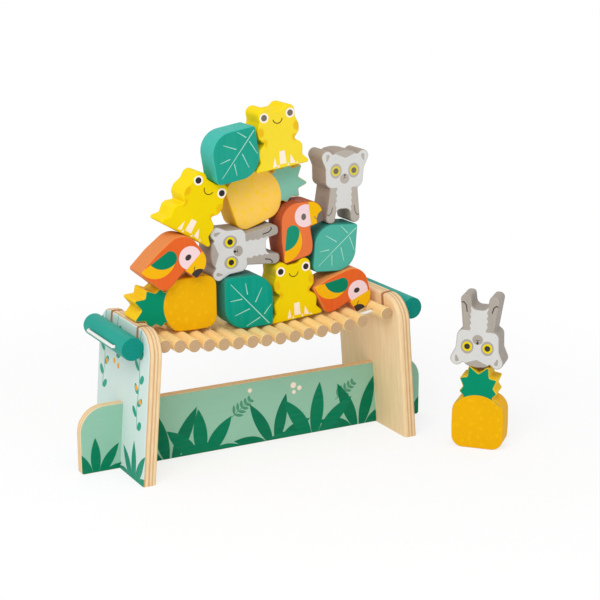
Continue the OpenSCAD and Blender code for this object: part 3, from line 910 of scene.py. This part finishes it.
def parrot_finish(looks):
    """Parrot: pale cheek, yellow beak with a dark tip, green wing and a yellow crescent. The
    wing is a small circle over a large one, both cut straight along the left."""
    m = Finish("Parrot")
    x, y = m.drawing()
    face = paints(m, looks.parrot, srgb(230, 122, 68), 0.16)
    straight = m.line(y, -0.097, x) + 10.04
    crescent = disc(m, x, y, -12.1, -5.2, 15.9).least(straight).least(3.0 - y)
    face = m.mix(m.mask(crescent), face, srgb(238, 176, 14))
    lower = disc(m, x, y, -12.26, 1.77, 13.8).least(2.5 - y)
    wing = lower.most(disc(m, x, y, -4.3, 2.1, 5.9)).least(straight)
    face = m.mix(m.mask(wing), face, paints(m, srgb(0, 126, 92), srgb(30, 146, 116)))
    beyond = m.line(y, 0.132, x) - 12.7
    face = m.mix(m.mask(disc(m, x, y, 6.5, 14.5, 9.0)), face, srgb(238, 208, 212))
    face = m.mix(m.mask(beyond.least(y - 4.8)), face, srgb(238, 182, 12))
    tip = disc(m, x, y, 24.0, 10.5, 7.2).least(beyond)
    face = m.mix(m.mask(tip), face, ink(m))
    mouth = stroke(m, x, y, (14.6, 13.0), (16.2, 11.2), 0.6).most(
        stroke(m, x, y, (16.2, 11.2), (17.6, 11.2), 0.6))
    face = m.mix(m.mask(mouth), face, ink(m))
    face = m.mix(m.mask(disc(m, x, y, 5.3, 13.7, 2.1, 2.65)), face, ink(m))
    # The last colour is painted shade: the parrot's side as it looks in shadow.
    return coated(m, face, looks.parrot_side, srgb(156, 54, 40))


def lemur_finish(looks):
    """Lemur: yellow-ringed eyes in taupe patches, taupe muzzle, limbs, ears and brow, and thin
    dark lines for its nose, mouth and hands."""
    m = Finish("Lemur")
    x, y = m.drawing()
    wide, eye = abs(x), (8.05, 41.7)
    fur = paints(m, looks.lemur, shade(looks.lemur, 1.02), 0.1)
    taupe = paints(m, looks.lemur_side, shade(looks.lemur_side, 1.2), 0.2)
    jag = m.math("PINGPONG", m.line(y, 1.0, 40.0), 2.4)
    ragged = m.line(m.noise((150, 150, 150), 1.0), 2.4, -1.2)
    limbs = (m.line(jag, -0.4, wide) - ragged - 6.2).least(28.6 - y)
    brow = (y - m.line(wide, 0.385, 51.8)).least(11.2 - wide)
    ears = stroke(m, wide, y, (15.6, 53.4), (16.4, 50.2), 3.0, 1.4)
    patches = disc(m, wide, y, *eye, 5.1, 5.9)
    muzzle = disc(m, x, y, 0, 35.4, 4.2, 4.0)
    face = m.mix(m.mask(union([limbs, brow, ears, patches, muzzle])), fur, taupe)
    ring = m.mix(m.number("fade"), srgb(226, 206, 10), srgb(214, 200, 70))
    face = m.mix(m.mask(disc(m, wide, y, *eye, 3.9)), face, ring)
    face = m.mix(m.mask(disc(m, wide, y, *eye, 2.3)), face, ink(m))
    lines = [stroke(m, x, y, (0, 38.0), (0, 38.4), 1.9), stroke(m, x, y, (0, 37.5), (0, 36.2), 0.5),
             stroke(m, wide, y, (0, 36.2), (1.3, 35.8), 0.5)]
    for points in LEMUR_HANDS:
        lines += [stroke(m, x, y, a, b, 0.85) for a, b in zip(points, points[1:])]
    face = m.mix(m.mask(union(lines)), face, ink(m))
    # The last colour is painted shade: the lemur's side as it looks in shadow.
    return coated(m, face, taupe, srgb(134, 108, 88))


def add_block(name, corners, turn, spin, numbers, looks, material, slot):
    """A block: its rounded outline, lofted through the rim's rings, tipped by turn and scaled to
    its node's box. spin turns the block about the vertical. Angles are in degrees. numbers are
    kept on the mesh for the material."""
    points, normals = rounded(corners)
    low, high = node_box(name)
    size, centre = high - low, (low + high) / 2
    t, w = math.radians(turn), math.radians(spin)
    tip = np.array([[math.cos(t), math.sin(t)], [-math.sin(t), math.cos(t)]])
    span = np.ptp(points @ tip, axis=0)
    scale = size[2] / span[1]
    thick = (size[1] - scale * span[0] * abs(math.sin(w))) / math.cos(w)
    depth, inset, share = rim(thick, looks.edge)
    own = points[None] * scale - inset[:, None, None] * normals[None]
    flat = own @ tip
    middle = (flat.max((0, 1)) + flat.min((0, 1))) / 2
    x, z = flat[..., 0] - middle[0], flat[..., 1] - middle[1] + centre[2]
    y = np.repeat((depth - thick / 2)[:, None], len(points), 1)
    placed = np.stack([x * math.cos(w) - y * math.sin(w) + centre[0],
                       x * math.sin(w) + y * math.cos(w) + centre[1], z], -1)
    piece = add_piece(name + "_block", placed.reshape(-1, 3), ring_faces(*x.shape),
                      {"edge": np.repeat(share[:, None], len(points), 1),
                       **{key: np.full(x.shape, value) for key, value in numbers.items()}},
                      own / scale)
    dress(piece, material, slot, name)


# Each block with its turn in degrees, how far its paint is faded and how much painted shade darkens
# its sides
BLOCKS = (
    ("pineapple_1", 90.2, 0, 0), ("leaf_1", 45.1, 0, 0.6), ("frog_1", 4.8, 0, 0.5),
    ("parrot_1", -74.2, 0.08, 0), ("parrot_2", -52.9, 0.08, 0.2), ("lemur_1", 93.1, 0, 0),
    ("parrot_3", 0.1, 0.8, 0.8), ("leaf_2", 130.8, 1, 0.5), ("frog_2", -31, 0, 0),
    ("pineapple_2", -70.5, 1, 0.1), ("lemur_2", -2, 0.9, 0.4), ("leaf_3", 144.2, 0.16, 0),
    ("frog_3", 7, 0.9, 0), ("pineapple_3", 0, 0, 0), ("lemur_3", 178, 0.1, 0))
PAIR, PAIR_TURN = ("pineapple_3", "lemur_3"), -47.0


class BALANCE_OT_blocks(bpy.types.Operator):
    """Makes the painted blocks, in the pile and beside the bridge"""

    bl_idname = "balance.blocks"
    bl_label = "Blocks"

    def execute(self, context):
        looks = context.scene.balance_blocks
        kinds = {"frog": (FROG, frog_finish(looks), "frog_yellow"),
                 "pineapple": (PINEAPPLE, pineapple_finish(looks), "pineapple_gold"),
                 "leaf": (LEAF, leaf_finish(looks), "leaf_teal"),
                 "parrot": (PARROT, parrot_finish(looks), "parrot_orange"),
                 "lemur": (LEMUR, lemur_finish(looks), "lemur_grey")}
        for name, turn, fade, painted_side_shade in BLOCKS:
            corners, material, slot = kinds[name.split("_")[0]]
            spin = PAIR_TURN if name in PAIR else 0
            add_block(name, corners, turn, spin, {"fade": fade, "painted_side_shade": painted_side_shade}, looks, material,
                      slot)
        return {"FINISHED"}


# The stage

# Distances from the part, in mm, between which the floor turns plain white as it is seen, and
# how white it is shown close to the part
FADE_FROM, FADE_TO, SHOWN_WHITE = 230.0, 520.0, 0.75
# In metres: half the floor's width, the key light's size, its place and what it is aimed at
FLOOR_HALF, KEY_SIZE = 6.0, 0.9
KEY_PLACE, KEY_AIM = (-0.75, -0.85, 1.25), (0.02, 0, 0.1)
# The camera's focal length in mm, its place in metres and its turns in degrees
CAMERA_LENS = 96.12
CAMERA_PLACE, CAMERA_TURNS = (-0.54366, -1.08570, 0.44059), (75.08, 0.09, -28.26)


def add_light(name, power, size, place, aim):
    """A square soft light that shines from place towards aim, in metres."""
    lamp = bpy.data.lights.new(name, "AREA")
    lamp.energy, lamp.size = power, size
    light = bpy.data.objects.new(name, lamp)
    light.location = place
    light.rotation_euler = (Vector(aim) - Vector(place)).to_track_quat("-Z", "Y").to_euler()
    bpy.context.scene.collection.objects.link(light)


def white_surround(strength):
    """Even soft light all round, seen as plain white by the camera and in reflections."""
    world = bpy.data.worlds.new("Studio")
    bpy.context.scene.world = world
    world.use_nodes = True
    tree = world.node_tree
    tree.nodes.clear()
    path = tree.nodes.new("ShaderNodeLightPath")
    seen = path.outputs["Is Camera Ray"]
    for name in ("Is Glossy Ray", "Is Transmission Ray"):
        most = tree.nodes.new("ShaderNodeMath")
        most.operation = "MAXIMUM"
        tree.links.new(seen, most.inputs[0])
        tree.links.new(path.outputs[name], most.inputs[1])
        seen = most.outputs[0]
    mix = tree.nodes.new("ShaderNodeMixShader")
    output = tree.nodes.new("ShaderNodeOutputWorld")
    for k, level in enumerate((strength, 1.0)):
        back = tree.nodes.new("ShaderNodeBackground")
        back.inputs["Strength"].default_value = level
        back.inputs["Color"].default_value = (1, 1, 1, 1)
        tree.links.new(back.outputs[0], mix.inputs[1 + k])
    tree.links.new(seen, mix.inputs[0])
    tree.links.new(mix.outputs[0], output.inputs[0])


def floor_finish(looks):
    """Pale matt paper. Wherever the camera or a reflection sees it, it turns plain white with
    distance, and near the part it keeps the shadow."""
    m = Finish("Studio floor")
    x, y, _ = m.place()
    tooth = m.noise(TOOTH, 2.0)
    lit = m.node("ShaderNodeBsdfDiffuse", {}, {
        "Color": m.mix(tooth, looks.floor, shade(looks.floor, 0.985))})
    away = m.math("SQRT", m.math("MULTIPLY_ADD", x, x, y * y))
    fade = m.node("ShaderNodeMapRange", {"interpolation_type": "SMOOTHSTEP"},
                  {"Value": away, "From Min": FADE_FROM, "From Max": FADE_TO})
    seen = union([m.node("ShaderNodeLightPath", out=name)
                  for name in ("Is Camera Ray", "Is Glossy Ray", "Is Transmission Ray")])
    white = m.node("ShaderNodeEmission", {}, {"Color": (1, 1, 1, 1), "Strength": 1.0})
    share = m.line(fade, 1 - SHOWN_WHITE, SHOWN_WHITE) * seen
    mixed = m.node("ShaderNodeMixShader", {}, {0: share, 1: lit, 2: white})
    m.tree.links.new(mixed.socket, m.output.inputs[0])
    return m.data


class BALANCE_OT_stage(bpy.types.Operator):
    """Makes the floor, the lights and the camera"""

    bl_idname = "balance.stage"
    bl_label = "Stage"

    def execute(self, context):
        looks = context.scene.balance_stage
        mesh = bpy.data.meshes.new("studio_floor")
        corners = [(x * FLOOR_HALF, y * FLOOR_HALF, 0)
                   for x, y in ((-1, -1), (1, -1), (1, 1), (-1, 1))]
        mesh.from_pydata(corners, [], [(0, 1, 2, 3)])
        mesh.materials.append(floor_finish(looks))
        floor = bpy.data.objects.new("studio_floor", mesh)
        context.scene.collection.objects.link(floor)
        white_surround(looks.sky)
        add_light("Key light", looks.key, KEY_SIZE, KEY_PLACE, KEY_AIM)
        data = bpy.data.cameras.new("Camera")
        data.lens, data.sensor_width = CAMERA_LENS, 36
        camera = bpy.data.objects.new("Camera", data)
        camera.location = CAMERA_PLACE
        camera.rotation_euler = Euler([math.radians(a) for a in CAMERA_TURNS])
        context.scene.collection.objects.link(camera)
        context.scene.camera = camera
        context.scene.view_settings.view_transform = "Standard"
        return {"FINISHED"}


class BALANCE_PT_panel(bpy.types.Panel):
    """Lists the looks and the steps that make the pieces"""

    bl_label = "Balance game"
    bl_idname = "BALANCE_PT_panel"
    bl_space_type = "VIEW_3D"
    bl_region_type = "UI"
    bl_category = "Balance game"

    def draw(self, context):
        for name, group in GROUPS.items():
            box = self.layout.box()
            looks = getattr(context.scene, name)
            for key in group.__annotations__:
                box.prop(looks, key)
            box.operator("balance." + name.split("_")[1])


CLASSES = (*GROUPS.values(), BALANCE_OT_frame, BALANCE_OT_deck, BALANCE_OT_blocks,
           BALANCE_OT_stage, BALANCE_PT_panel)


def register():
    """Makes the classes known and gives the scene its groups of looks."""
    for cls in CLASSES:
        bpy.utils.register_class(cls)
    for name, group in GROUPS.items():
        setattr(bpy.types.Scene, name, PointerProperty(type=group))


def unregister():
    """Takes the groups and classes away again."""
    for name in GROUPS:
        delattr(bpy.types.Scene, name)
    for cls in reversed(CLASSES):
        bpy.utils.unregister_class(cls)


def main():
    """Makes every piece."""
    register()
    bpy.ops.balance.frame()
    bpy.ops.balance.deck()
    bpy.ops.balance.blocks()
    bpy.ops.balance.stage()


if __name__ == "__main__":
    main()
